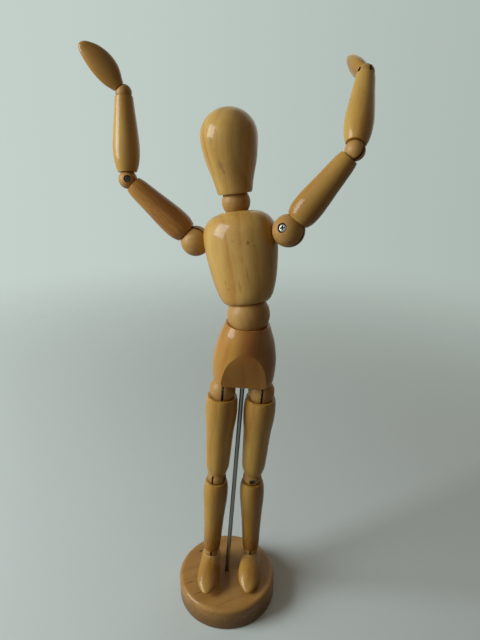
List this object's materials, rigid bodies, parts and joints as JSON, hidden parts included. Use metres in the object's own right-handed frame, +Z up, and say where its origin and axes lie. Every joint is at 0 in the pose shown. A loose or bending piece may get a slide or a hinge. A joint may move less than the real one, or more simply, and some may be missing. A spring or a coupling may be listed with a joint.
{
  "type": "artist mannequin",
  "caption": "Jointed wooden drawing figure on a round wooden base, held up by a thin steel rod, with ball joints and leaf-shaped hands, standing with both arms raised.",
  "frame": {"origin": "centre of the base's underside", "axes": "+Z up, the figure faces -Y, so +X is towards the figure's left hand"},
  "size_m": [0.159, 0.0899, 0.3617],
  "materials": {
    "lacquered_wood": "clear gloss lacquer over honey-coloured wood with faint lengthwise grain",
    "bare_wood": "paler wood with a satin finish",
    "bright_steel": "drawn steel, lightly polished",
    "plated_screw": "bright plated steel with a cross recess"
  },
  "bodies": {
    "stand": {"base": "lacquered_wood", "support_rod": "bright_steel", "pelvis": "lacquered_wood"},
    "waist_ball": {"waist_ball": "bare_wood"},
    "waist_spring": {"waist_spring": "bright_steel"},
    "chest": {"chest": "lacquered_wood"},
    "neck_ball": {"neck_ball": "bare_wood"},
    "neck_spring": {"neck_spring": "bright_steel"},
    "head": {"head": "lacquered_wood"},
    "right_shoulder": {"right_shoulder_ball": "bare_wood", "right_shoulder_screw": "plated_screw"},
    "right_upper_arm": {"right_upper_arm": "lacquered_wood", "right_shoulder_link": "bright_steel"},
    "right_elbow": {"right_elbow_ball": "bare_wood", "right_elbow_screw": "plated_screw"},
    "right_forearm": {"right_forearm": "lacquered_wood", "right_elbow_link": "bright_steel"},
    "right_wrist": {"right_wrist_ball": "bare_wood", "right_wrist_screw": "plated_screw"},
    "right_wrist_link": {"right_wrist_link": "bright_steel"},
    "right_hand": {"right_hand": "lacquered_wood"},
    "right_hip": {"right_hip_ball": "bare_wood", "right_hip_screw": "plated_screw"},
    "right_thigh": {"right_thigh": "lacquered_wood", "right_hip_link": "bright_steel"},
    "right_knee": {"right_knee_ball": "bare_wood", "right_knee_screw": "plated_screw"},
    "right_shin": {"right_shin": "lacquered_wood", "right_knee_link": "bright_steel"},
    "right_ankle": {"right_ankle_link": "bright_steel"},
    "right_foot": {"right_foot": "lacquered_wood", "right_ankle_ball": "bare_wood", "right_ankle_screw": "plated_screw"},
    "left_shoulder": {"left_shoulder_ball": "bare_wood", "left_shoulder_screw": "plated_screw"},
    "left_upper_arm": {"left_upper_arm": "lacquered_wood", "left_shoulder_link": "bright_steel"},
    "left_elbow": {"left_elbow_ball": "bare_wood", "left_elbow_screw": "plated_screw"},
    "left_forearm": {"left_forearm": "lacquered_wood", "left_elbow_link": "bright_steel"},
    "left_wrist": {"left_wrist_ball": "bare_wood", "left_wrist_screw": "plated_screw"},
    "left_wrist_link": {"left_wrist_link": "bright_steel"},
    "left_hand": {"left_hand": "lacquered_wood"},
    "left_hip": {"left_hip_ball": "bare_wood", "left_hip_screw": "plated_screw"},
    "left_thigh": {"left_thigh": "lacquered_wood", "left_hip_link": "bright_steel"},
    "left_knee": {"left_knee_ball": "bare_wood", "left_knee_screw": "plated_screw"},
    "left_shin": {"left_shin": "lacquered_wood", "left_knee_link": "bright_steel"},
    "left_ankle": {"left_ankle_link": "bright_steel"},
    "left_foot": {"left_foot": "lacquered_wood", "left_ankle_ball": "bare_wood", "left_ankle_screw": "plated_screw"}
  },
  "joints": [
    {"name": "waist_side", "type": "hinge", "parent": "stand", "child": "waist_ball", "pos_m": [0.0145, 0, 0.21688], "axis": [0, 1, 0], "range_deg": [-6, 38]},
    {"name": "waist_turn", "type": "hinge", "parent": "waist_ball", "child": "waist_spring", "pos_m": [0.0145, 0, 0.21688], "axis": [-0.2275, 0, 0.9738], "range_deg": [-60, 90]},
    {"name": "waist_bend", "type": "hinge", "parent": "waist_spring", "child": "chest", "pos_m": [0.0145, 0, 0.21688], "axis": [0.8699, -0.4493, 0.2032], "range_deg": [-8, 36], "deforming": ["waist_spring"]},
    {"name": "neck_side", "type": "hinge", "parent": "chest", "child": "neck_ball", "pos_m": [0.00736, 0.01403, 0.27849], "axis": [0.4802, 0.8657, -0.1415], "range_deg": [-26, 18]},
    {"name": "neck_turn", "type": "hinge", "parent": "neck_ball", "child": "neck_spring", "pos_m": [0.00736, 0.01403, 0.27849], "axis": [-0.0682, 0.1976, 0.9779], "range_deg": [-90, 90]},
    {"name": "neck_bend", "type": "hinge", "parent": "neck_spring", "child": "head", "pos_m": [0.00736, 0.01403, 0.27849], "axis": [0.8745, -0.4599, 0.154], "range_deg": [-27, 17], "deforming": ["neck_spring"]},
    {"name": "right_shoulder_turn", "type": "hinge", "parent": "chest", "child": "right_shoulder", "pos_m": [-0.01662, 0.02334, 0.25409], "axis": [0.8699, -0.4493, 0.2032], "range_deg": [-120, 120]},
    {"name": "right_shoulder_swing", "type": "hinge", "parent": "right_shoulder", "child": "right_upper_arm", "pos_m": [-0.01662, 0.02334, 0.25409], "axis": [0.3768, 0.8715, 0.3138], "range_deg": [-130, 17]},
    {"name": "right_elbow_turn", "type": "hinge", "parent": "right_upper_arm", "child": "right_elbow", "pos_m": [-0.05468, 0.02722, 0.28901], "axis": [0.7347, -0.0749, -0.6742], "range_deg": [-90, 90]},
    {"name": "right_elbow_swing", "type": "hinge", "parent": "right_elbow", "child": "right_forearm", "pos_m": [-0.05468, 0.02722, 0.28901], "axis": [0.1044, -0.9695, 0.2216], "range_deg": [-28, 120]},
    {"name": "right_wrist_turn", "type": "hinge", "parent": "right_forearm", "child": "right_wrist", "pos_m": [-0.05527, 0.03761, 0.33474], "axis": [0.0126, -0.2215, -0.9751], "range_deg": [-90, 90]},
    {"name": "right_wrist_swing", "type": "hinge", "parent": "right_wrist", "child": "right_wrist_link", "pos_m": [-0.05527, 0.03761, 0.33474], "axis": [-0.2973, 0.9302, -0.2151], "range_deg": [-28, 110]},
    {"name": "right_hand_twist", "type": "hinge", "parent": "right_wrist_link", "child": "right_hand", "pos_m": [-0.05527, 0.03761, 0.33474], "axis": [0.6396, 0.0267, -0.7682], "range_deg": [-90, 90]},
    {"name": "right_hip_turn", "type": "hinge", "parent": "stand", "child": "right_hip", "pos_m": [-0.00101, 0, 0.16747], "axis": [0.0724, 0, 0.9974], "range_deg": [-40, 40]},
    {"name": "right_hip_swing", "type": "hinge", "parent": "right_hip", "child": "right_thigh", "pos_m": [-0.00101, 0, 0.16747], "axis": [0.9974, 0, -0.0724], "range_deg": [-45, 40]},
    {"name": "right_knee_turn", "type": "hinge", "parent": "right_thigh", "child": "right_knee", "pos_m": [-0.00592, 0.00213, 0.09988], "axis": [0.0723, -0.0314, 0.9969], "range_deg": [-90, 20]},
    {"name": "right_knee_swing", "type": "hinge", "parent": "right_knee", "child": "right_shin", "pos_m": [-0.00592, 0.00213, 0.09988], "axis": [0.8876, -0.4538, -0.0787], "range_deg": [-52, 3]},
    {"name": "right_ankle_turn", "type": "hinge", "parent": "right_shin", "child": "right_ankle", "pos_m": [-0.01079, 0.00425, 0.03269], "axis": [0.0723, -0.0314, 0.9969], "range_deg": [-45, 20]},
    {"name": "right_ankle_swing", "type": "hinge", "parent": "right_ankle", "child": "right_foot", "pos_m": [-0.01079, 0.00425, 0.03269], "axis": [0.9948, -0.0697, -0.0744], "range_deg": [-25, 4]},
    {"name": "left_shoulder_turn", "type": "hinge", "parent": "chest", "child": "left_shoulder", "pos_m": [0.03558, -0.00362, 0.26628], "axis": [-0.8699, 0.4493, -0.2032], "range_deg": [-120, 120]},
    {"name": "left_shoulder_swing", "type": "hinge", "parent": "left_shoulder", "child": "left_upper_arm", "pos_m": [0.03558, -0.00362, 0.26628], "axis": [-0.4931, -0.7931, 0.3574], "range_deg": [-120, 30]},
    {"name": "left_elbow_turn", "type": "hinge", "parent": "left_upper_arm", "child": "left_elbow", "pos_m": [0.06731, -0.0049, 0.3072], "axis": [-0.6125, 0.0249, -0.79], "range_deg": [-90, 90]},
    {"name": "left_elbow_swing", "type": "hinge", "parent": "left_elbow", "child": "left_forearm", "pos_m": [0.06731, -0.0049, 0.3072], "axis": [-0.6979, -0.4862, 0.5258], "range_deg": [-115, 33]},
    {"name": "left_wrist_turn", "type": "hinge", "parent": "left_forearm", "child": "left_wrist", "pos_m": [0.07571, 0.02287, 0.34405], "axis": [-0.1792, -0.5922, -0.7856], "range_deg": [-90, 90]},
    {"name": "left_wrist_swing", "type": "hinge", "parent": "left_wrist", "child": "left_wrist_link", "pos_m": [0.07571, 0.02287, 0.34405], "axis": [-0.9238, -0.1733, 0.3414], "range_deg": [-110, 26]},
    {"name": "left_hand_twist", "type": "hinge", "parent": "left_wrist_link", "child": "left_hand", "pos_m": [0.07571, 0.02287, 0.34405], "axis": [0.0932, -0.9667, -0.2385], "range_deg": [-90, 90]},
    {"name": "left_hip_turn", "type": "hinge", "parent": "stand", "child": "left_hip", "pos_m": [0.02272, 0, 0.16575], "axis": [-0.0724, 0, -0.9974], "range_deg": [-40, 40]},
    {"name": "left_hip_swing", "type": "hinge", "parent": "left_hip", "child": "left_thigh", "pos_m": [0.02272, 0, 0.16575], "axis": [0.9974, 0, -0.0724], "range_deg": [-45, 40]},
    {"name": "left_knee_turn", "type": "hinge", "parent": "left_thigh", "child": "left_knee", "pos_m": [0.01782, 0.00343, 0.09821], "axis": [0.0723, -0.0506, 0.9961], "range_deg": [-35, 90]},
    {"name": "left_knee_swing", "type": "hinge", "parent": "left_knee", "child": "left_shin", "pos_m": [0.01782, 0.00343, 0.09821], "axis": [-0.0037, -0.9987, -0.0505], "range_deg": [-3, 52]},
    {"name": "left_ankle_turn", "type": "hinge", "parent": "left_shin", "child": "left_ankle", "pos_m": [0.01718, 0.00683, 0.0309], "axis": [0.0095, -0.0505, 0.9987], "range_deg": [-20, 45]},
    {"name": "left_ankle_swing", "type": "hinge", "parent": "left_ankle", "child": "left_foot", "pos_m": [0.01718, 0.00683, 0.0309], "axis": [0.9973, -0.0728, -0.0132], "range_deg": [-25, 3]}
  ]
}
